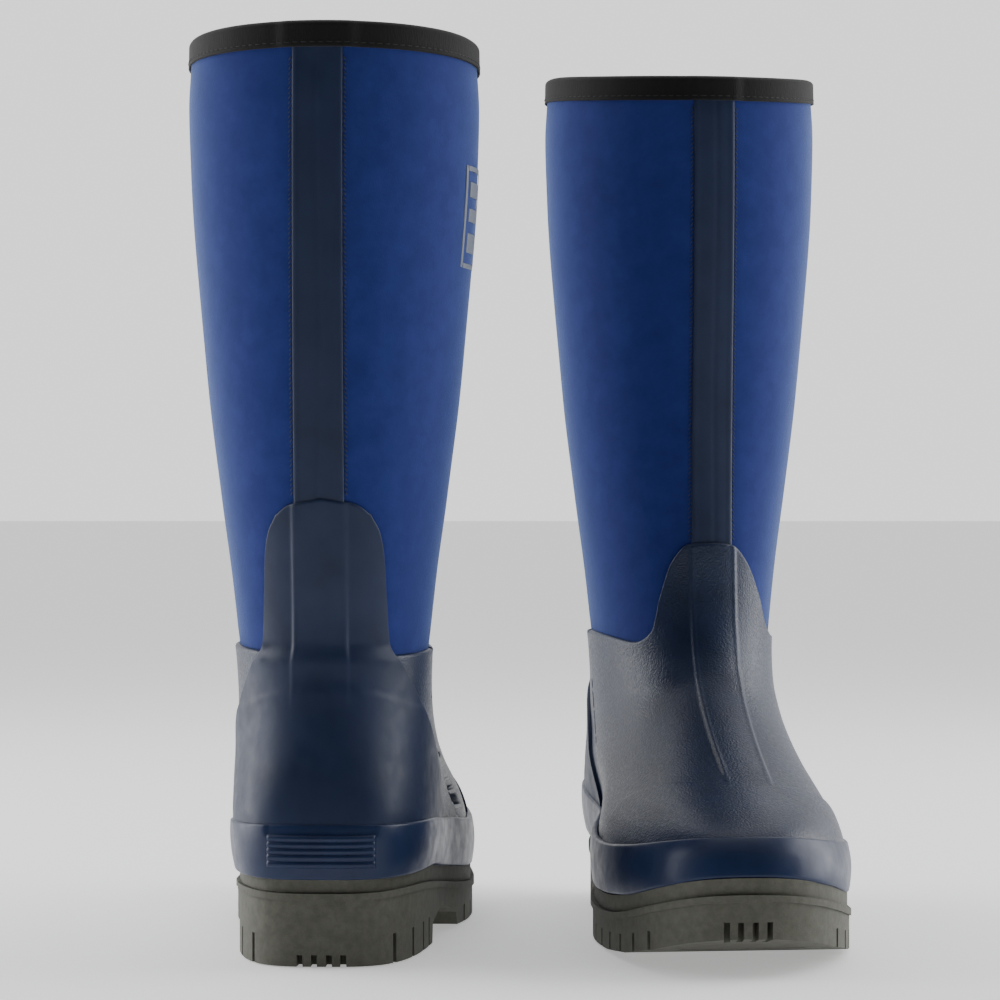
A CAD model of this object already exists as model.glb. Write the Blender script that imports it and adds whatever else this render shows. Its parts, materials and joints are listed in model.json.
"""The look of the pair of tall stable boots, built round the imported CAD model."""

import json
import math

import bpy
import numpy as np
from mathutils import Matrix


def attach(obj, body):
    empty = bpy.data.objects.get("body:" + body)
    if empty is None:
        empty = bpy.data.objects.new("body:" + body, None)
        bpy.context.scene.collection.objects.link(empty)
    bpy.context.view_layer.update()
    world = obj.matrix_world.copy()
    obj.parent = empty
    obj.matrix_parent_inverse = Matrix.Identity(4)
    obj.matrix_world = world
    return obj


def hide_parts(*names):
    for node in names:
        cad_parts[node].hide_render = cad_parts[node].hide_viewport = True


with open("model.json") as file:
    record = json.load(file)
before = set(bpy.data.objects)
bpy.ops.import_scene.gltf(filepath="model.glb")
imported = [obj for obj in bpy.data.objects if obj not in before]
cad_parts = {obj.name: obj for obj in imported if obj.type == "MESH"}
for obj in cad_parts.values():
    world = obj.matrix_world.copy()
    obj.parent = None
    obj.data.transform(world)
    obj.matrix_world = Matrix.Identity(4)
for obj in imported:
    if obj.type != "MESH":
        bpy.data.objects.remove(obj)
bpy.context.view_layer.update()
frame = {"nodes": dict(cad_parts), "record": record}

MM = 0.001
SIDES = ("right", "left")

# ---- One boot, in millimetres: +Y from heel to toe, +X to its outer side, +Z up ----
TOE_OUT = {"right": math.radians(2.0), "left": math.radians(6.0)}
HEELS = {"right": (-84.2, -134.0), "left": (74.7, 134.0)}
# Height, back, front, Y of the greatest width, half widths (heel, ball lateral, ball medial), and the powers
# of the outline's front and back halves
SLICES = np.array([
    (14, 5.0, 292.0, 150, 40.5, 52.5, 50.5, 2.50, 3.50),
    (26, 4.0, 295.0, 150, 41.0, 53.5, 51.5, 2.50, 3.50),
    (38, 2.5, 296.5, 150, 42.0, 54.2, 52.2, 2.50, 3.50),
    (48, 1.5, 294.0, 148, 43.2, 53.6, 52.0, 2.45, 3.50),
    (56, 1.5, 288.0, 142, 43.6, 52.0, 50.5, 2.40, 3.45),
    (63, 2.0, 275.0, 135, 43.5, 50.0, 49.0, 2.30, 3.40),
    (70, 2.8, 254.0, 125, 43.2, 48.0, 47.5, 2.20, 3.20),
    (78, 4.2, 228.0, 112, 42.8, 46.0, 46.0, 2.15, 2.90),
    (88, 6.5, 202.0, 98, 42.2, 44.0, 44.0, 2.10, 2.55),
    (100, 9.3, 178.0, 84, 41.8, 42.6, 42.6, 2.05, 2.25),
    (114, 12.0, 159.0, 75, 41.6, 41.8, 41.8, 2.00, 2.08),
    (130, 13.5, 147.0, 71, 42.2, 42.2, 42.2, 2.00, 2.00),
    (147, 13.0, 141.0, 70, 44.0, 44.0, 44.0, 2.00, 2.00),
    (170, 10.0, 138.5, 70, 46.6, 46.6, 46.6, 2.00, 2.00),
    (205, 5.5, 138.0, 70, 51.3, 51.3, 51.3, 2.00, 2.00),
    (250, 1.5, 139.5, 70, 57.0, 57.0, 57.0, 2.00, 2.00),
    (300, -1.5, 142.5, 70, 61.6, 61.6, 61.6, 2.00, 2.00),
    (350, -2.5, 144.5, 70, 65.2, 65.2, 65.2, 2.00, 2.00),
    (380, -2.0, 145.0, 70, 66.0, 66.0, 66.0, 2.00, 2.00),
    (402, -1.0, 144.0, 70, 64.9, 64.9, 64.9, 2.00, 2.00),
    (424, -1.0, 144.0, 70, 64.6, 64.6, 64.6, 2.00, 2.00),
], dtype=float)
HEEL_Y, BALL_Y = 45.0, 185.0
WAIST_Y, WAIST_LENGTH, WAIST_LATERAL, WAIST_MEDIAL = 112.0, 34.0, 3.0, 7.0
WAIST_FADE = (50.0, 84.0)
TOE_SWING, TOE_SWING_FROM = 7.0, 150.0
SHAFT_Y = 70.0
OUTSOLE_TOP = [(-12, 31), (60, 30), (110, 24), (185, 17), (240, 21), (280, 29.5), (318, 40)]
MIDSOLE_RISE = 7.5
RAND_TOP = [(-12, 62.5), (50, 60), (110, 54), (185, 47), (240, 50), (318, 60.5)]
RIM = [(-30, 412), (10, 411.7), (70, 409.8), (130, 404.5), (175, 400.5)]
COUNTER_SIDE = [(10, 112), (30, 112), (60, 103), (88, 78), (110, 50), (122, 38), (134, 30)]
TONGUE_SIDE = [(134, 29.0), (138, 27.5), (160, 26.3), (180, 25.5), (190, 24.0), (197, 20.0), (202, 13.0),
               (204, 0.0)]
FRONT_EDGE = [(-46, 139.0), (-38, 136.5), (-29, 134.5), (-22, 140), (-18, 158), (-13, 174), (-6, 181.5),
              (5, 182.5), (15, 181), (21.5, 174), (28.5, 158), (33, 143), (38, 137), (46, 135)]
BACK_EDGE_Z = 135.0
TOE_CAP_EDGE = [(-75, 178), (-52, 193), (-30, 224), (0, 243), (30, 226), (55, 193), (75, 178)]
STRIP_X = 5.2
BACK_STRIP_X = -1.5
FRONT_STRIP_HALF, BACK_STRIP_HALF = 9.8, 11.0
FRONT_STRIP_END_Y, BACK_STRIP_END_Z = 245.0, 108.0
NEOPRENE, LINING = 5.0, 1.0
BINDING_HEIGHT = 12.0
BINDING_CROWN = 2.6                 # how far below the rim the tape's fold begins to round over
BINDING_TOP_GAP = 1.6               # from the rim down to the top of the fabric inside the fold

# Layers, as distances out from the neoprene's outer surface: inner and outer faces
UNDER_RUBBER, GALOSH_FACE = 0.1, 2.2
OVERLAY_BACK, TOE_CAP_FACE = 2.3, 3.6
COUNTER_THICK = 1.35
RAND_BACK, RAND_FACE = 2.35, 5.1
PAD_BACK, PAD_FACE = 5.45, 5.9
STRIP_FACE = 1.15
FOOTBED_EDGE = -7.3
PRINT_BACK, PRINT_FACE = 0.08, 0.42

PAD_Z, PAD_HALF, PAD_RIB_PITCH = (44.0, 57.5), 21.0, 2.7
FRONT_STRIP_Z, BACK_STRIP_Z = (150.0, 402.0), (150.0, 410.0)
FRONT_SEAM_Z, BACK_SEAM_Z = (184.0, 391.0), (206.0, 398.0)
SEAM_STITCH, SEAM_STITCH_PITCH = (2.2, 0.62), 2.1        # length and thickness, and the spacing
BINDING_STITCH, BINDING_STITCH_PITCH = (2.7, 0.45), 3.6
BADGE_Y, BADGE_Z = 60.0, 330.0


# ---- Curves and the boot's surface ----

def monotone(xs, ys):
    """A smooth curve through points that doesn't overshoot them."""
    xs = np.asarray(xs, float)
    ys = np.asarray(ys, float)
    if ys.ndim == 1:
        ys = ys[:, None]
    gap = np.diff(xs)[:, None]
    secant = np.diff(ys, axis=0) / gap
    slope = np.zeros_like(ys)
    before, after = 2 * gap[1:] + gap[:-1], gap[1:] + 2 * gap[:-1]
    same = secant[:-1] * secant[1:] > 0
    safe_first = np.where(same, secant[:-1], 1.0)
    safe_second = np.where(same, secant[1:], 1.0)
    slope[1:-1] = np.where(same, (before + after) / (before / safe_first + after / safe_second), 0.0)
    slope[0], slope[-1] = secant[0], secant[-1]

    def at(x):
        x = np.clip(np.asarray(x, float), xs[0], xs[-1])
        i = np.clip(np.searchsorted(xs, x, side="right") - 1, 0, len(xs) - 2)
        h = gap[i, 0]
        t = ((x - xs[i]) / h)[..., None]
        h = h[..., None]
        value = ys[i] * (2 * t ** 3 - 3 * t ** 2 + 1) + ys[i + 1] * (3 * t ** 2 - 2 * t ** 3)
        return value + h * (slope[i] * (t ** 3 - 2 * t ** 2 + t) + slope[i + 1] * (t ** 3 - t ** 2))

    return at


def line(points):
    at = monotone([p[0] for p in points], [p[1] for p in points])
    return lambda x: at(x)[..., 0]


def smoothstep(value):
    clipped = np.clip(value, 0.0, 1.0)
    return clipped * clipped * (3 - 2 * clipped)


def ramp(value, low, high):
    return smoothstep((np.asarray(value, float) - low) / (high - low))


TRAVELS = np.concatenate([[0.0], np.cumsum(np.hypot(np.diff(SLICES[:, 0]), 0.6 * np.diff(SLICES[:, 2])))])
slice_at = monotone(TRAVELS, SLICES)
FINE_TRAVEL = np.linspace(0, TRAVELS[-1], 4000)
FINE_Z = slice_at(FINE_TRAVEL)[:, 0]
sole_top = line(OUTSOLE_TOP)
rand_top = line(RAND_TOP)
rim_height = line(RIM)
counter_side = line(COUNTER_SIDE)
tongue_side = line(TONGUE_SIDE)
front_edge = line(FRONT_EDGE)
toe_cap_edge = line(TOE_CAP_EDGE)


def travel_of(z):
    return np.interp(z, FINE_Z, FINE_TRAVEL)


def base_point(travel, angle):
    """The neoprene's outer surface. The angle runs from the front, 0, towards the outer side."""
    travel, angle = np.broadcast_arrays(np.asarray(travel, float), np.asarray(angle, float))
    shape = slice_at(travel)
    z, back, front, mid, heel, lateral, medial, front_power, back_power = np.moveaxis(shape, -1, 0)
    cosine, sine = np.cos(angle), np.sin(angle)
    power = np.where(cosine > 0, front_power, back_power)
    reach = (np.abs(cosine) ** power + np.abs(sine) ** power) ** (-1 / power)
    y = mid + np.where(cosine > 0, front - mid, mid - back) * reach * cosine
    ball = np.where(sine > 0, lateral, medial)
    half = heel + (ball - heel) * smoothstep((y - HEEL_Y) / (BALL_Y - HEEL_Y))
    waist = 1 - ramp(z, *WAIST_FADE)
    depth = np.where(sine > 0, WAIST_LATERAL, WAIST_MEDIAL)
    half = half - waist * depth * np.exp(-(((y - WAIST_Y) / WAIST_LENGTH) ** 2))
    swing = TOE_SWING * (np.clip(y - TOE_SWING_FROM, 0, None) / TOE_SWING_FROM) ** 2
    return np.stack([half * reach * sine - swing, y, z], axis=-1)


def lifted(travel, angle, distance):
    """Points at a distance out from the neoprene's outer surface."""
    step = 0.02
    travel = np.clip(travel, step, TRAVELS[-1] - step)
    along = base_point(travel + step, angle) - base_point(travel - step, angle)
    around = base_point(travel, angle + 1e-3) - base_point(travel, angle - 1e-3)
    normal = np.cross(along, around)
    normal /= np.linalg.norm(normal, axis=-1, keepdims=True)
    return base_point(travel, angle) + np.asarray(distance)[..., None] * normal


def sole_travel(angle, rise=0.0):
    """Where the upper's wall meets the midsole."""
    travel = np.full(np.shape(angle), travel_of(38.0))
    for _ in range(12):
        y = base_point(travel, angle)[..., 1]
        travel = travel_of(sole_top(y) + MIDSOLE_RISE + rise)
    return travel


def line_travel(angle, height, start=55.0):
    """Where a line seen from the side crosses the wall at each angle."""
    travel = np.full(np.shape(angle), travel_of(start))
    for _ in range(12):
        travel = travel_of(height(base_point(travel, angle)[..., 1]))
    return travel


def angle_at_x(travel, x, front=True):
    """The angle at which each slice reaches a given X, on its front or its back half."""
    table = np.linspace(-math.pi / 2, math.pi / 2, 361)
    found = []
    for t, wanted in zip(np.ravel(travel), np.ravel(x)):
        angles = table if front else math.pi - table
        found.append(np.interp(wanted, base_point(t, angles)[:, 0], angles))
    return np.array(found).reshape(np.shape(travel))


# ---- Meshes ----

def place(side, points):
    """From one boot's own frame, in millimetres, to the row frame, in metres."""
    points = np.array(points, dtype=float).reshape(-1, 3)
    turn = -TOE_OUT[side]
    if side == "left":
        points[:, 0] *= -1
        turn = math.pi + TOE_OUT[side]
    x = points[:, 0] * math.cos(turn) - points[:, 1] * math.sin(turn) + HEELS[side][0]
    y = points[:, 0] * math.sin(turn) + points[:, 1] * math.cos(turn) + HEELS[side][1]
    return np.stack([x, y, points[:, 2]], axis=-1) * MM


def add_mesh(side, name, points, faces, slot, body=None):
    """A piece that stands for the CAD node of the same name."""
    mesh = bpy.data.meshes.new(f"{side}_{name}")
    if side == "left":
        faces = [face[::-1] for face in faces]
    mesh.from_pydata(place(side, points).tolist(), [], faces)
    mesh.validate()
    for polygon in mesh.polygons:
        polygon.use_smooth = True
    obj = bpy.data.objects.new(f"{side}_{name}", mesh)
    bpy.context.scene.collection.objects.link(obj)
    obj.data.materials.append(MATERIALS[slot])
    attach(obj, body or f"{side}_boot")
    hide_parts(f"{side}_{name}")
    return obj


def spaced(length, step, soft_start=True, soft_end=True):
    """Positions from 0 to 1, about a step apart, and close together near soft ends, which can be rolled."""
    close = np.array([0.0, 0.12, 0.35, 0.7, 1.2, 2.0]) / length
    low = close if soft_start else close[:1]
    high = 1 - close[::-1] if soft_end else np.array([1.0])
    count = max(2, int(round(length * (high[0] - low[-1]) / step)))
    return np.concatenate([low, np.linspace(low[-1], high[0], count + 1)[1:-1], high])


def edge_roll(points, radius, rows, columns):
    """0 at the piece's free edges and 1 from a radius inside them, following a quarter circle."""
    nearest = np.full(points.shape[:2], 1e3)
    if rows:
        run = np.linalg.norm(np.diff(points, axis=0), axis=-1)
        travelled = np.concatenate([np.zeros((1, points.shape[1])), np.cumsum(run, axis=0)])
        if "start" in rows:
            nearest = np.minimum(nearest, travelled)
        if "end" in rows:
            nearest = np.minimum(nearest, travelled[-1] - travelled)
    if columns:
        run = np.linalg.norm(np.diff(points, axis=1), axis=-1)
        travelled = np.concatenate([np.zeros((points.shape[0], 1)), np.cumsum(run, axis=1)], axis=1)
        nearest = np.minimum(nearest, np.minimum(travelled, travelled[:, -1:] - travelled))
    inside = np.clip(1 - nearest / radius, 0, 1)
    return np.sqrt(1 - inside ** 2)


def wall_piece(travel, angle, inner, outer, closed, radius=0.8, rows="start end", columns=False):
    """The points and faces of a closed wall over a grid whose free edges are rolled."""
    base = base_point(travel, angle)
    inner = np.broadcast_to(inner, travel.shape)
    outer = np.broadcast_to(outer, travel.shape)
    roll = edge_roll(base, radius, rows, columns)
    face = lifted(travel, angle, inner + (outer - inner) * (0.12 + 0.88 * roll))
    back = lifted(travel, angle, inner)
    return stitched(face, back, closed)


def stitched(face, back, closed):
    """Joins an outer and an inner grid of points into one closed mesh."""
    row_count, column_count = face.shape[:2]
    points = np.concatenate([face.reshape(-1, 3), back.reshape(-1, 3)])
    shift = row_count * column_count
    spans = column_count if closed else column_count - 1
    faces = []
    for row in range(row_count - 1):
        for column in range(spans):
            a = row * column_count + column
            b = row * column_count + (column + 1) % column_count
            c, d = b + column_count, a + column_count
            faces.append((a, b, c, d))
            faces.append((shift + d, shift + c, shift + b, shift + a))
    for column in range(spans):
        following = (column + 1) % column_count
        faces.append((shift + column, shift + following, following, column))
        top = (row_count - 1) * column_count
        faces.append((top + column, top + following, shift + top + following, shift + top + column))
    if not closed:
        for row in range(row_count - 1):
            low, high = row * column_count, (row + 1) * column_count
            faces.append((low, high, shift + high, shift + low))
            low, high = low + column_count - 1, high + column_count - 1
            faces.append((shift + low, shift + high, high, low))
    return points, faces


def sway(points, scale, seed):
    """Smooth unevenness between -1 and 1, the same each run."""
    x, y, z = np.moveaxis(points / scale, -1, 0)
    total = np.sin(1.3 * x + 0.7 * z + seed) * np.cos(0.9 * y - 0.5 * z + 2.1 * seed)
    total += 0.6 * np.sin(2.1 * z - 1.1 * y + 1.7 * seed) * np.cos(1.9 * x + 0.4 * seed)
    total += 0.35 * np.sin(3.7 * z + 1.9 * x - 0.6 * seed) * np.cos(2.9 * y + seed)
    return total / 1.6


def strip_rise(points, height=0.9, ridge=0.55):
    """How far a strip under the rubber lifts it, with a ridge along each of the strip's edges."""
    x, y, z = np.moveaxis(points, -1, 0)
    front = (y > SHAFT_Y) * (1 - ramp(y, FRONT_STRIP_END_Y - 26, FRONT_STRIP_END_Y - 4))
    back = (y <= SHAFT_Y) * ramp(z, BACK_STRIP_END_Z - 4, BACK_STRIP_END_Z + 26)
    total = np.zeros(x.shape)
    for shown, centre, half in ((front, STRIP_X, FRONT_STRIP_HALF), (back, BACK_STRIP_X, BACK_STRIP_HALF)):
        across = np.abs(x - centre) - half
        total += shown * (height * (1 - ramp(across, -1.2, 1.2)) + ridge * np.exp(-((across / 1.0) ** 2)))
    return total


# ---- Materials ----

def new_material(name, colour, roughness, **sockets):
    material = bpy.data.materials.new(name)
    material.use_nodes = True
    tree = material.node_tree
    shader = tree.nodes["Principled BSDF"]
    shader.inputs["Base Color"].default_value = (*colour, 1)
    shader.inputs["Roughness"].default_value = roughness
    for socket, value in sockets.items():
        shader.inputs[socket.replace("_", " ")].default_value = value
    return material, tree, shader


def object_noise(tree, scale, detail=3.0, roughness=0.55, stretch=None):
    position = tree.nodes.new("ShaderNodeTexCoord")
    noise = tree.nodes.new("ShaderNodeTexNoise")
    noise.inputs["Scale"].default_value = scale
    noise.inputs["Detail"].default_value = detail
    noise.inputs["Roughness"].default_value = roughness
    source = position.outputs["Object"]
    if stretch:
        mapping = tree.nodes.new("ShaderNodeMapping")
        mapping.inputs["Scale"].default_value = stretch
        tree.links.new(source, mapping.inputs["Vector"])
        source = mapping.outputs["Vector"]
    tree.links.new(source, noise.inputs["Vector"])
    return noise.outputs["Fac"]


def cells(tree, scale):
    position = tree.nodes.new("ShaderNodeTexCoord")
    voronoi = tree.nodes.new("ShaderNodeTexVoronoi")
    voronoi.feature = "SMOOTH_F1"
    voronoi.inputs["Scale"].default_value = scale
    tree.links.new(position.outputs["Object"], voronoi.inputs["Vector"])
    return voronoi.outputs["Distance"]


def add_bump(tree, shader, height, strength, distance):
    bump = tree.nodes.new("ShaderNodeBump")
    bump.inputs["Strength"].default_value = strength
    bump.inputs["Distance"].default_value = distance
    tree.links.new(height, bump.inputs["Height"])
    previous = shader.inputs["Normal"].links
    if previous:
        tree.links.new(previous[0].from_socket, bump.inputs["Normal"])
    tree.links.new(bump.outputs["Normal"], shader.inputs["Normal"])


def vary(tree, shader, socket, factor, low, high):
    """Drives a socket between two values, or two colours, by a texture."""
    scale = tree.nodes.new("ShaderNodeValToRGB")
    scale.color_ramp.elements[0].position = 0.3
    scale.color_ramp.elements[1].position = 0.7
    low = low if isinstance(low, tuple) else (low, low, low)
    high = high if isinstance(high, tuple) else (high, high, high)
    scale.color_ramp.elements[0].color = (*low, 1)
    scale.color_ramp.elements[1].color = (*high, 1)
    tree.links.new(factor, scale.inputs["Fac"])
    tree.links.new(scale.outputs["Color"], shader.inputs[socket])


def jersey_material():
    material, tree, shader = new_material(
        "neoprene_jersey", (0.02, 0.036, 0.17), 0.9, Sheen_Weight=0.6, Sheen_Roughness=0.35,
        Sheen_Tint=(0.45, 0.62, 1.0, 1), Specular_IOR_Level=0.12)
    mottle = object_noise(tree, 90, 5, 0.65)
    vary(tree, shader, "Base Color", mottle, (0.016, 0.026, 0.135), (0.022, 0.035, 0.172))
    add_bump(tree, shader, object_noise(tree, 2600, 2, 0.5, (1, 1, 0.55)), 0.35, 0.0002)
    add_bump(tree, shader, object_noise(tree, 420, 3), 0.12, 0.0004)
    return material


def grained_material():
    material, tree, shader = new_material(
        "grained_rubber", (0.013, 0.023, 0.055), 0.4, Specular_IOR_Level=0.35)
    vary(tree, shader, "Base Color", object_noise(tree, 60, 4), (0.011, 0.019, 0.047), (0.015, 0.027, 0.065))
    vary(tree, shader, "Roughness", object_noise(tree, 800, 3), 0.3, 0.48)
    add_bump(tree, shader, cells(tree, 1150), 0.5, 0.0003)
    add_bump(tree, shader, object_noise(tree, 1900, 3), 0.22, 0.0002)
    return material


def smooth_rubber_material(name, colour, roughness):
    material, tree, shader = new_material(name, colour, roughness, Specular_IOR_Level=0.27)
    darker = tuple(0.85 * channel for channel in colour)
    lighter = tuple(1.15 * channel for channel in colour)
    vary(tree, shader, "Base Color", object_noise(tree, 45, 4), darker, lighter)
    vary(tree, shader, "Roughness", object_noise(tree, 130, 4), roughness - 0.05, roughness + 0.08)
    add_bump(tree, shader, object_noise(tree, 1400, 3), 0.16, 0.00015)
    add_bump(tree, shader, object_noise(tree, 75, 3), 0.2, 0.0008)
    return material


def sole_material():
    material, tree, shader = new_material("sole_rubber", (0.095, 0.095, 0.078), 0.75, Specular_IOR_Level=0.35)
    dust = object_noise(tree, 220, 6, 0.7)
    vary(tree, shader, "Base Color", dust, (0.075, 0.075, 0.061), (0.115, 0.115, 0.095))
    add_bump(tree, shader, object_noise(tree, 1500, 4), 0.4, 0.0003)
    add_bump(tree, shader, object_noise(tree, 120, 4), 0.25, 0.0006)
    return material


def tape_material():
    material, tree, shader = new_material(
        "binding_tape", (0.007, 0.007, 0.007), 0.8, Sheen_Weight=0.06, Specular_IOR_Level=0.2)
    add_bump(tree, shader, object_noise(tree, 1500, 2, 0.5, (1, 1, 0.25)), 0.5, 0.0003)
    add_bump(tree, shader, object_noise(tree, 260, 3), 0.25, 0.0004)
    return material


def plain_material(name, colour, roughness, bump_scale):
    material, tree, shader = new_material(name, colour, roughness)
    add_bump(tree, shader, object_noise(tree, bump_scale, 3), 0.35, 0.0002)
    return material


MATERIALS = {
    "neoprene": jersey_material(),
    "grained_rubber": grained_material(),
    "navy_rubber": smooth_rubber_material("navy_rubber", (0.011, 0.021, 0.056), 0.46),
    "rand_rubber": smooth_rubber_material("rand_rubber", (0.012, 0.023, 0.066), 0.34),
    "sole_rubber": sole_material(),
    "binding_tape": tape_material(),
    "black_thread": plain_material("black_thread", (0.01, 0.01, 0.01), 0.7, 2500),
    "navy_thread": plain_material("navy_thread", (0.012, 0.02, 0.045), 0.65, 2500),
    "badge_print": plain_material("badge_print", (0.14, 0.16, 0.2), 0.6, 900),
    "lining_fabric": plain_material("lining_fabric", (0.012, 0.012, 0.014), 0.9, 1600),
    "foam": plain_material("foam", (0.02, 0.02, 0.024), 0.9, 1200),
    "footbed_fabric": plain_material("footbed_fabric", (0.018, 0.018, 0.022), 0.92, 2000),
    "fibreboard": plain_material("fibreboard", (0.2, 0.16, 0.1), 0.8, 500),
    "steel": plain_material("steel", (0.5, 0.5, 0.52), 0.35, 300),
}


def paint_cad(nodes):
    """The pieces that stay CAD: hard, sharp-edged rubber and the hidden stiff parts."""
    for entry in frame["record"]["subparts"]:
        obj = frame["nodes"][entry["node"]]
        obj.data.materials.clear()
        obj.data.materials.append(MATERIALS[entry["material_slot"]])
        if entry["node"].endswith(nodes):
            bevel = obj.modifiers.new("worn_edges", "BEVEL")
            bevel.width = 0.5 * MM
            bevel.segments = 2
            bevel.limit_method = "ANGLE"
            bevel.angle_limit = math.radians(50)
            bevel.harden_normals = False


# ---- Upper ----

def edge_samples():
    """The galosh's top edge, all the way round, as angles and travels, close-set along the tongue."""
    xs = np.linspace(-44, 44, 4000)
    zs = front_edge(xs)
    run = np.concatenate([[0], np.cumsum(np.hypot(np.diff(xs), np.diff(zs)))])
    even = np.linspace(0, run[-1], 260)
    x, z = np.interp(even, run, xs), np.interp(even, run, zs)
    travel = travel_of(z)
    angle = angle_at_x(travel, x)
    start, end = angle[-1], angle[0] + 2 * math.pi
    behind = np.linspace(start, end, 150)[1:-1]
    share = (behind - start) / (end - start)
    height = z[-1] + (z[0] - z[-1]) * smoothstep(share) + (BACK_EDGE_Z - 137) * np.sin(math.pi * share)
    return np.concatenate([angle, behind]), np.concatenate([travel, travel_of(height)])


def between_edges(top_angle, top_travel, bottom_angle, bottom_travel, rows):
    share = rows[:, None]
    lean = smoothstep(share)
    angle = bottom_angle + (top_angle - bottom_angle) * lean
    travel = bottom_travel + (top_travel - bottom_travel) * share
    return travel, angle


PANEL_INSET, PANEL_HALF_WIDTH = 0.02, 60.0


def panels(side):
    """The two neoprene panels, from the sole to the rim, that meet under the strips."""
    middle = math.pi
    for name, start, end in (("neoprene_lateral", 0.0, middle), ("neoprene_medial", -middle, 0.0)):
        angle = np.linspace(start, end, 130)[None, :]
        low = sole_travel(angle)
        y = base_point(np.full(angle.shape, travel_of(400)), angle)[..., 1]
        high = travel_of(rim_height(y) - BINDING_TOP_GAP)
        rows = np.linspace(0, 1, 170)[:, None]
        travel = low + (high - low) * rows
        angle = np.broadcast_to(angle, travel.shape)
        base = base_point(travel, angle)
        outer = 0.28 * sway(base, 38.0, 1.0) * ramp(base[..., 2], 150, 200)
        squeezed = middle * PANEL_INSET / PANEL_HALF_WIDTH
        shifted = angle + np.where(angle > (start + end) / 2, -squeezed, squeezed)
        points, faces = wall_piece(travel, shifted, -NEOPRENE, outer, False, 0.3, "", False)
        add_mesh(side, name, points, faces, "neoprene")


def lining(side):
    angle = np.linspace(0, 2 * math.pi, 180, endpoint=False)[None, :]
    low = sole_travel(angle, 0.3)
    y = base_point(np.full(angle.shape, travel_of(400)), angle)[..., 1]
    high = travel_of(rim_height(y) - BINDING_TOP_GAP)
    rows = np.linspace(0, 1, 110)[:, None]
    travel = low + (high - low) * rows
    angle = np.broadcast_to(angle, travel.shape)
    face = -NEOPRENE - UNDER_RUBBER
    points, faces = wall_piece(travel, angle, face - LINING, face, True, 0.3, "", False)
    add_mesh(side, "lining", points, faces, "lining_fabric")


def galosh(side):
    top_angle, top_travel = edge_samples()
    turned = np.unwrap(top_angle)
    rows = spaced(100.0, 1.1)
    travel, angle = between_edges(turned, top_travel, turned, sole_travel(turned), rows)
    base = base_point(travel, angle)
    outer = GALOSH_FACE + strip_rise(base) + 0.22 * sway(base, 24.0, 2.0)
    crease = np.exp(-(((base[..., 2] - 118 - 0.25 * base[..., 0]) / 5.0) ** 2)) * ramp(base[..., 1], 120, 145)
    outer = outer - 0.35 * crease
    mesh = wall_piece(travel, angle, UNDER_RUBBER, outer, True, 1.2)
    add_mesh(side, "galosh", *mesh, "grained_rubber")


def counter_outline():
    """The heel counter's free edge from its medial end, over the tongue, to its lateral end."""
    side, tongue, crown = np.linspace(36, 134, 90), np.linspace(134.5, 197, 60), np.linspace(197.3, 203.9, 26)
    heights = np.concatenate([side, tongue, crown])
    travel = travel_of(heights)
    low = heights < 134
    y_wanted = counter_side(heights)
    x_wanted = tongue_side(heights)
    table = np.linspace(math.pi / 2 - 0.6, math.pi, 500)
    angle = np.empty(heights.shape)
    for i, t in enumerate(travel):
        ring = base_point(t, table)
        if low[i]:
            angle[i] = np.interp(-y_wanted[i], -ring[:, 1], table)
        else:
            angle[i] = np.interp(-x_wanted[i], -ring[:, 0], table)
    kernel = np.ones(7) / 7
    padded = np.concatenate([np.full(3, angle[0]), angle, np.full(3, angle[-1])])
    angle = np.convolve(padded, kernel, mode="valid")
    angles = np.concatenate([2 * math.pi - angle, [math.pi], angle[::-1]])
    travels = np.concatenate([travel, [travel_of(204.2)], travel[::-1]])
    return angles, travels


def heel_counter(side):
    top_angle, top_travel = counter_outline()
    bottom_angle = np.linspace(top_angle[0], top_angle[-1], len(top_angle))
    bottom_travel = sole_travel(bottom_angle)
    rows = spaced(90.0, 1.1)
    travel, angle = between_edges(top_angle, top_travel, bottom_angle, bottom_travel, rows)
    base = base_point(travel, angle)
    over = 1 - ramp(base[..., 2], 131.5, 140.0)
    inner = UNDER_RUBBER + GALOSH_FACE * over
    arch = 121 - 11 * (base[..., 0] / 38) ** 2
    stiffened = 0.4 * (1 - ramp(base[..., 2] - arch, -1.6, 1.6))
    outer = inner + COUNTER_THICK + stiffened + strip_rise(base, 0.9, 0.4) * (0.35 + 0.65 * (1 - over))
    outer = outer + 0.2 * sway(base, 26.0, 3.0)
    mesh = wall_piece(travel, angle, inner, outer, False, 1.1, "start end", False)
    add_mesh(side, "heel_counter", *mesh, "navy_rubber")


def toe_cap(side):
    table = np.linspace(travel_of(30), travel_of(84), 700)
    angles = np.linspace(-1.42, 1.42, 300)
    top = []
    for angle in angles:
        ring = base_point(table, np.full(table.shape, angle))
        ahead = ring[:, 1] - toe_cap_edge(ring[:, 0])
        crossing = np.nonzero(ahead > 0)[0]
        top.append(table[crossing[-1]] if len(crossing) else np.nan)
    top = np.array(top)
    low = sole_travel(angles)
    kept = ~np.isnan(top) & (top > low + 2)
    angles, top, low = angles[kept], top[kept], low[kept]
    rows = spaced(60.0, 1.0)[:, None]
    travel = low + (top - low) * rows
    angle = np.broadcast_to(angles, travel.shape)
    base = base_point(travel, angle)
    outer = TOE_CAP_FACE + 0.35 * strip_rise(base) + 0.15 * sway(base, 22.0, 4.0)
    mesh = wall_piece(travel, angle, OVERLAY_BACK, outer, False, 1.1, "start end", True)
    add_mesh(side, "toe_cap", *mesh, "grained_rubber")


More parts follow.
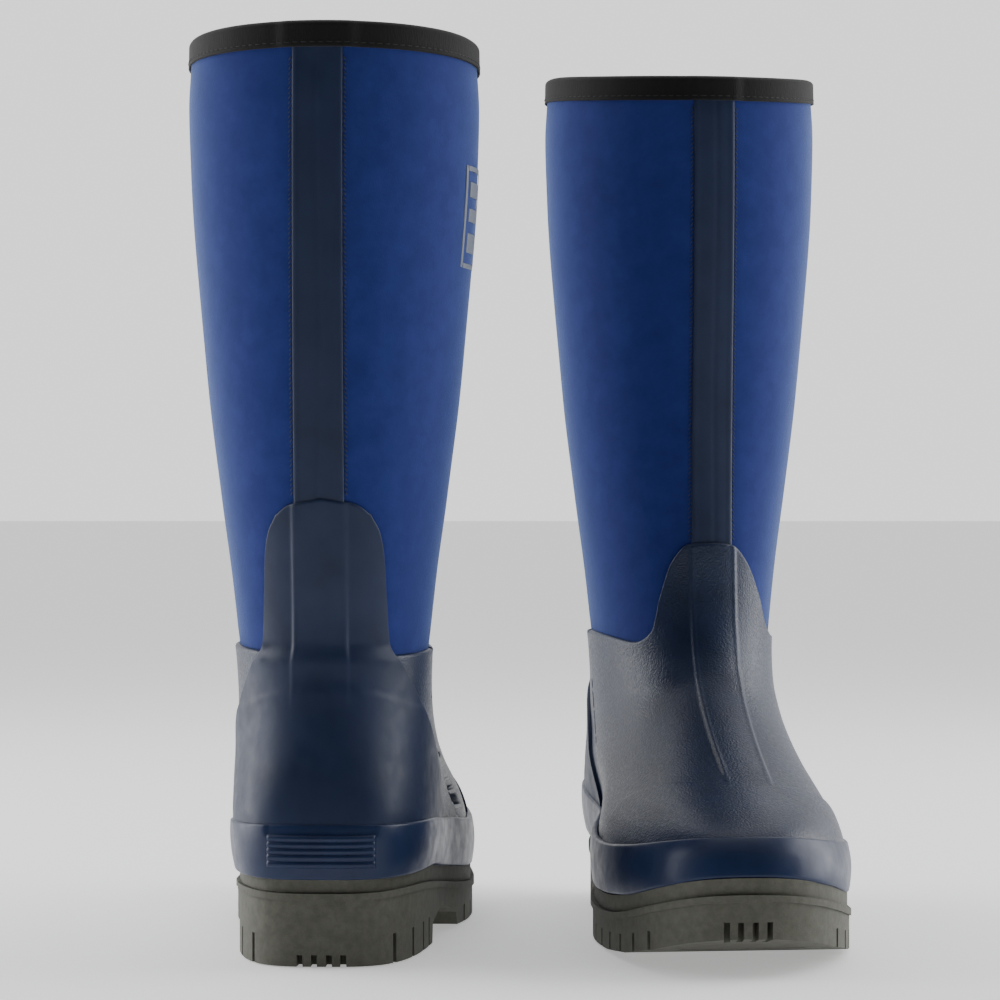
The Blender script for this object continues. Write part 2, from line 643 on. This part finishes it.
def rand(side):
    angle = np.linspace(0, 2 * math.pi, 420, endpoint=False)[None, :]
    low = sole_travel(angle, 0.1)
    high = line_travel(angle, rand_top)
    rows = spaced(24.0, 0.9)[:, None]
    travel = low + (high - low) * rows
    angle = np.broadcast_to(angle, travel.shape)
    base = base_point(travel, angle)
    swell = np.sin(math.pi * np.clip(rows, 0, 1)) ** 0.8
    recess = (1 - ramp(np.abs(base[..., 0]), 20.5, 22.5)) * (base[..., 1] < 60)
    recess = recess * ramp(base[..., 2], 57.0, 58.0) * (1 - ramp(base[..., 2], 61.2, 62.0))
    outer = RAND_FACE + 0.55 * swell + 0.1 * sway(base, 20.0, 5.0) - 0.6 * recess
    mesh = wall_piece(travel, angle, RAND_BACK, outer, True, 1.0)
    add_mesh(side, "rand", *mesh, "rand_rubber")


def heel_pad(side):
    heights = np.linspace(*PAD_Z, 90)
    x = np.linspace(-PAD_HALF, PAD_HALF, 70)
    grid_z, grid_x = np.meshgrid(heights, x, indexing="ij")
    travel = travel_of(grid_z)
    angle = angle_at_x(travel, grid_x, False)
    phase = (grid_z - PAD_Z[0]) / PAD_RIB_PITCH
    ribs = np.abs(np.sin(math.pi * phase)) ** 0.7
    outer = PAD_FACE + 0.75 * ribs
    travel, angle, outer = travel[:, ::-1], angle[:, ::-1], outer[:, ::-1]
    mesh = wall_piece(travel, angle, PAD_BACK, outer, False, 0.8, "start end", True)
    add_mesh(side, "heel_pad", *mesh, "rand_rubber")


def strip_grid(front, low, high):
    centre, half = (STRIP_X, FRONT_STRIP_HALF) if front else (BACK_STRIP_X, BACK_STRIP_HALF)
    heights = np.linspace(low, high, 200)
    across = spaced(2 * half, 0.9) * 2 * half - half
    grid_z, grid_x = np.meshgrid(heights, centre + across, indexing="ij")
    travel = travel_of(grid_z)
    return travel, angle_at_x(travel, grid_x, front), grid_x - centre


def strips(side):
    for name, front, span in (("front_strip", True, FRONT_STRIP_Z), ("back_strip", False, BACK_STRIP_Z)):
        travel, angle, across = strip_grid(front, *span)
        half = FRONT_STRIP_HALF if front else BACK_STRIP_HALF
        base = base_point(travel, angle)
        welt = 0.3 * np.exp(-(((np.abs(across) - half + 1.6) / 0.7) ** 2))
        crease = 0.25 * np.exp(-(((across - 0.2 * half * sway(base, 90, 6.0)) / 1.0) ** 2))
        outer = STRIP_FACE + welt - crease + 0.12 * sway(base, 30.0, 7.0)
        if not front:
            travel, angle, outer = travel[:, ::-1], angle[:, ::-1], outer[:, ::-1]
        mesh = wall_piece(travel, angle, UNDER_RUBBER, outer, False, 0.7, "start end", True)
        add_mesh(side, name, *mesh, "navy_rubber")


def stitches(side, name, places, length, thickness, slot):
    """Short round-ended stitches, each along its own direction, joined in one piece."""
    ring_count, around = 6, 6
    points, faces = [], []
    for centre, direction, outward in places:
        sideways = np.cross(direction, outward)
        first = len(points)
        for k in range(ring_count):
            share = k / (ring_count - 1)
            along = (share - 0.5) * length
            radius = thickness / 2 * max(0.25, math.sin(math.pi * share) ** 0.35)
            for j in range(around):
                turn = 2 * math.pi * j / around
                offset = math.cos(turn) * sideways + math.sin(turn) * outward
                points.append(centre + along * direction + radius * offset)
        for k in range(ring_count - 1):
            for j in range(around):
                a = first + k * around + j
                b = first + k * around + (j + 1) % around
                faces.append((a, b, b + around, a + around))
        last = first + (ring_count - 1) * around
        faces.append(tuple(first + j for j in range(around))[::-1])
        faces.append(tuple(last + j for j in range(around)))
    add_mesh(side, name, np.array(points), faces, slot)


def seam_stitches(side):
    """The overlocked seams down each strip's two edges."""
    for name, front, span in (("front_seams", True, FRONT_SEAM_Z), ("back_seams", False, BACK_SEAM_Z)):
        centre, half = (STRIP_X, FRONT_STRIP_HALF) if front else (BACK_STRIP_X, BACK_STRIP_HALF)
        places = []
        heights = np.arange(*span, SEAM_STITCH_PITCH)
        for edge in (-1, 1):
            travel = travel_of(heights)
            angle = angle_at_x(travel, np.full(heights.shape, centre + edge * (half + 0.75)), front)
            here = lifted(travel, angle, np.full(heights.shape, 0.32))
            out = lifted(travel, angle, np.full(heights.shape, 1.32)) - here
            for i in range(len(heights) - 1):
                climb = here[i + 1] - here[i]
                climb /= np.linalg.norm(climb)
                outward = out[i] / np.linalg.norm(out[i])
                sideways = np.cross(climb, outward)
                direction = climb * 0.72 + sideways * 0.69 * edge * (1 if front else -1)
                places.append((here[i], direction / np.linalg.norm(direction), outward))
        stitches(side, name, places, *SEAM_STITCH, "navy_thread")


def binding_offset(base):
    """The tape is raised where it crosses the strips."""
    rise = np.zeros(base.shape[:-1])
    crossings = ((STRIP_X, FRONT_STRIP_HALF, True), (BACK_STRIP_X, BACK_STRIP_HALF + 3, False))
    for centre, half, front in crossings:
        here = base[..., 1] > SHAFT_Y if front else base[..., 1] <= SHAFT_Y
        rise += here * (1 - ramp(np.abs(base[..., 0] - centre), half - 1, half + 5)) * 1.3
    return rise


def binding(side):
    """The stretch tape folded over the rim."""
    angle = np.linspace(0, 2 * math.pi, 300, endpoint=False)
    level = np.full(angle.shape, travel_of(404))
    base = base_point(level, angle)
    rim = rim_height(base[:, 1])
    rise = binding_offset(base)
    profile = []
    for drop in np.linspace(BINDING_HEIGHT, BINDING_CROWN, 12):
        profile.append((1.0, drop))
    for turn in np.linspace(0, math.pi, 15)[1:-1]:
        profile.append((math.cos(turn), BINDING_CROWN * (1 - math.sin(turn))))
    for drop in np.linspace(BINDING_CROWN, BINDING_HEIGHT, 12):
        profile.append((-1.0, drop))
    rows_out, rows_in = [], []
    middle, reach = -3.05, 4.3
    puff = 0.16 * sway(base, 9.0, 8.0)
    for number, (across, drop) in enumerate(profile):
        edge = min(number, len(profile) - 1 - number)
        thick = 1.15 if edge > 1 else (0.75, 1.05)[edge]
        lift = 0.5 * (across + 1) * rise
        outer = middle + reach * across + lift + puff * across
        rows_out.append(lifted(travel_of(rim - drop), angle, outer))
        inner = middle + across * (reach - thick) + 0.6 * lift
        rows_in.append(lifted(travel_of(rim - max(drop, BINDING_CROWN / 2)), angle, inner))
    face, back = np.array(rows_out), np.array(rows_in)
    points, faces = stitched(face, back, True)
    add_mesh(side, "topline_binding", points, faces, "binding_tape")


def binding_thread(side):
    angle = np.linspace(0, 2 * math.pi, 2000, endpoint=False)
    base = base_point(np.full(angle.shape, travel_of(398)), angle)
    run = np.concatenate([[0], np.cumsum(np.linalg.norm(np.diff(base, axis=0), axis=-1))])
    even = np.arange(0, run[-1], BINDING_STITCH_PITCH)
    angle = np.interp(even, run, angle)
    base = base_point(np.full(angle.shape, travel_of(398)), angle)
    travel = travel_of(rim_height(base[:, 1]) - BINDING_HEIGHT + 2.0)
    level = 1.3 + binding_offset(base)
    here = lifted(travel, angle, level)
    ahead = lifted(travel, angle + 0.01, level)
    out = lifted(travel, angle, level + 1)
    places = []
    for i in range(len(angle)):
        direction = (ahead[i] - here[i]) / np.linalg.norm(ahead[i] - here[i])
        places.append((here[i], direction, out[i] - here[i]))
    stitches(side, "binding_thread", places, *BINDING_STITCH, "black_thread")


def badge(side):
    """A plain printed badge high on the outer side: a rounded frame round three bars."""
    parts = [(-15, -12.6, -23, 23), (12.6, 15, -23, 23), (-12.4, 12.4, 20.6, 23), (-12.4, 12.4, -23, -20.6),
             (-9, 9, 9, 16), (-9, 9, -2, 4), (-9, 9, -16, -7)]
    points, faces = [], []
    for left, right, low, high in parts:
        y, z = np.meshgrid(BADGE_Y + np.linspace(left, right, 14), BADGE_Z + np.linspace(low, high, 22))
        travel = travel_of(z)
        table = np.linspace(0.3, math.pi - 0.3, 600)
        angle = np.empty(y.shape)
        for i in range(y.shape[0]):
            angle[i] = np.interp(-y[i], -base_point(travel[i, 0], table)[:, 1], table)
        some, these = wall_piece(travel, angle, PRINT_BACK, PRINT_FACE, False, 0.3, "start end", True)
        faces += [tuple(index + len(points) for index in face[::-1]) for face in these]
        points += list(some)
    add_mesh(side, "side_badge", np.array(points), faces, "badge_print")


# ---- Footbed ----
# Name, height above the midsole, thickness and material slot
FOOTBED_LAYERS = (("footbed_foam", 2.7, 5.5, "foam"), ("footbed_cover", 8.3, 0.8, "footbed_fabric"))


def footbed(side):
    """The loose moulded footbed: a cupped foam base under a knitted cover."""
    for name, base_rise, thick, slot in FOOTBED_LAYERS:
        angle = np.linspace(0, 2 * math.pi, 160, endpoint=False)
        edge = lifted(sole_travel(angle, base_rise + 3), angle, np.full(angle.shape, FOOTBED_EDGE))
        flat = np.zeros(angle.shape)
        centre = np.stack([flat - 1.5, np.clip(edge[:, 1], 45, 245), flat], axis=-1)
        shares = np.concatenate([np.linspace(0.02, 0.93, 26), [0.96, 0.985, 1.0]])
        upper, lower = [], []
        for share in shares:
            spot = centre + (edge - centre) * share
            floor = sole_top(spot[:, 1]) + MIDSOLE_RISE + base_rise
            cup = 1.2 * ramp(share, 0.7, 1.0) * (1 - ramp(spot[:, 1], 90, 150))
            round_off = 0.6 * max(0.0, (share - 0.93) / 0.07) ** 2
            top = floor + thick + cup - round_off * (thick > 1)
            bottom = floor + (cup if name == "footbed_cover" else 0)
            upper.append(np.stack([spot[:, 0], spot[:, 1], top], axis=-1))
            lower.append(np.stack([spot[:, 0], spot[:, 1], bottom], axis=-1))
        points, faces = stitched(np.array(upper)[::-1], np.array(lower)[::-1], True)
        piece = add_mesh(side, name, points, faces, slot, f"{side}_footbed")


def boot(side):
    panels(side)
    lining(side)
    galosh(side)
    heel_counter(side)
    toe_cap(side)
    rand(side)
    heel_pad(side)
    strips(side)
    seam_stitches(side)
    binding(side)
    binding_thread(side)
    badge(side)
    footbed(side)


# ---- Studio ----
TENT_FRONT, TENT_BACK = 0.02, 1.1   # how bright the white tent is behind the camera and behind the boots
TENT_RAMP = (-0.6, 0.45)            # the parts of its depth between which it brightens
BACKDROP = 1.4                      # how bright it looks to the camera
SOFTBOX_POWER, TOP_POWER = 20, 5
CAMERA_PLACE, CAMERA_LENS, CAMERA_DROP = (-0.0064, -1.534, 0.212), 116, 0.36


def area_light(name, place_m, aim_m, size, power):
    data = bpy.data.lights.new(name, "AREA")
    data.shape = "RECTANGLE"
    data.size, data.size_y = size
    data.energy = power
    light = bpy.data.objects.new(name, data)
    light.location = place_m
    direction = np.array(aim_m) - np.array(place_m)
    yaw = math.atan2(direction[0], direction[1])
    flat = math.hypot(direction[0], direction[1])
    light.rotation_euler = (math.pi / 2 + math.atan2(direction[2], flat), 0, -yaw)
    bpy.context.scene.collection.objects.link(light)


def studio():
    world = bpy.data.worlds.new("white_studio")
    world.use_nodes = True
    nodes, links = world.node_tree.nodes, world.node_tree.links
    lighting = nodes["Background"]
    direction = nodes.new("ShaderNodeTexCoord")
    split = nodes.new("ShaderNodeSeparateXYZ")
    tent = nodes.new("ShaderNodeMapRange")
    tent.inputs["From Min"].default_value = TENT_RAMP[0]
    tent.inputs["From Max"].default_value = TENT_RAMP[1]
    tent.inputs["To Min"].default_value = TENT_FRONT
    tent.inputs["To Max"].default_value = TENT_BACK
    links.new(direction.outputs["Generated"], split.inputs["Vector"])
    links.new(split.outputs["Y"], tent.inputs["Value"])
    links.new(tent.outputs["Result"], lighting.inputs["Strength"])
    lighting.inputs["Color"].default_value = (1, 1, 1, 1)
    seen = nodes.new("ShaderNodeBackground")
    seen.inputs["Strength"].default_value = BACKDROP
    seen.inputs["Color"].default_value = (1, 1, 1, 1)
    mix = nodes.new("ShaderNodeMixShader")
    path = nodes.new("ShaderNodeLightPath")
    links.new(path.outputs["Is Camera Ray"], mix.inputs["Fac"])
    links.new(lighting.outputs["Background"], mix.inputs[1])
    links.new(seen.outputs["Background"], mix.inputs[2])
    links.new(mix.outputs["Shader"], nodes["World Output"].inputs["Surface"])
    bpy.context.scene.world = world
    area_light("left_softbox", (-1.3, 0.35, 0.5), (0, 0, 0.2), (1.2, 1.4), SOFTBOX_POWER)
    area_light("right_softbox", (1.3, 0.35, 0.5), (0, 0, 0.2), (1.2, 1.4), SOFTBOX_POWER)
    area_light("top_softbox", (0, 0.6, 1.6), (0, 0, 0.1), (1.6, 1.6), TOP_POWER)
    material, _, _ = new_material("pale_floor", (0.93, 0.93, 0.93), 0.7, Emission_Color=(1, 1, 1, 1),
                                            Emission_Strength=0.4)
    bpy.ops.mesh.primitive_plane_add(size=30, location=(0, 0, -0.0004))
    floor = bpy.context.object
    floor.name = "studio_floor"
    floor.data.materials.append(material)


def camera():
    """Level with the boots' middle and far back, as a long lens sees them."""
    data = bpy.data.cameras.new("camera")
    data.sensor_width = 36
    data.lens = CAMERA_LENS
    view = bpy.data.objects.new("camera", data)
    view.location = CAMERA_PLACE
    view.rotation_euler = (math.radians(90 - CAMERA_DROP), 0, 0)
    bpy.context.scene.collection.objects.link(view)
    bpy.context.scene.camera = view


paint_cad(("outsole", "midsole"))
for each in SIDES:
    boot(each)
studio()
camera()
